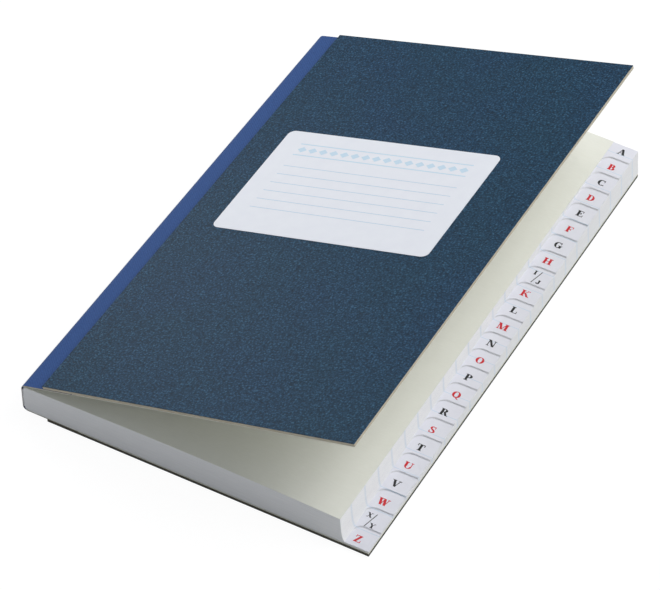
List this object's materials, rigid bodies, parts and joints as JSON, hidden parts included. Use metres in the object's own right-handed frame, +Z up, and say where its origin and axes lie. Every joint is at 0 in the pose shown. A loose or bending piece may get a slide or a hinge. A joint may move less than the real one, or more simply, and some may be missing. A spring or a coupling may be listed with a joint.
{
  "type": "indexed notebook",
  "caption": "Cut-flush hardcover notebook with a stepped alphabetical thumb index down the fore-edge, cloth-taped spine, and covers that open.",
  "frame": {"origin": "on the table, under the centre of the book's outline", "axes": "+X from the spine to the fore-edge, +Y from the tail to the head, +Z up from the back cover to the front cover"},
  "size_m": [0.135, 0.21, 0.0521],
  "materials": {
    "page_paper": "bluish white wood-free paper, trimmed edges, index tabs ruled and printed",
    "endpaper": "plain greenish cream endpaper",
    "spine_lining": "glued open-weave lining",
    "book_cloth": "blue sized cotton book cloth",
    "greyboard": "raw trimmed edge",
    "cover_paper": "dark blue-grey paper embossed with a leather grain",
    "label_paper": "smooth white label paper with pale blue print"
  },
  "bodies": {
    "leaves": {"page_block": "page_paper", "front_flyleaf": "endpaper", "back_flyleaf": "endpaper", "spine_lining": "spine_lining", "spine_tape": "book_cloth"},
    "front_cover": {"front_pastedown": "endpaper", "front_tape_flap": "book_cloth", "front_board": "greyboard", "front_cover_paper": "cover_paper", "front_label": "label_paper"},
    "back_cover": {"back_pastedown": "endpaper", "back_tape_flap": "book_cloth", "back_board": "greyboard", "back_cover_paper": "cover_paper"}
  },
  "joints": [
    {"name": "front_cover_hinge", "type": "hinge", "parent": "leaves", "child": "front_cover", "pos_m": [-0.0672, 0, 0.01291], "axis": [0, -1, 0], "range_deg": [-14.6, 163.8]},
    {"name": "back_cover_hinge", "type": "hinge", "parent": "leaves", "child": "back_cover", "pos_m": [-0.0672, 0, 0.00172], "axis": [0, 1, 0], "range_deg": [0, 180]}
  ]
}
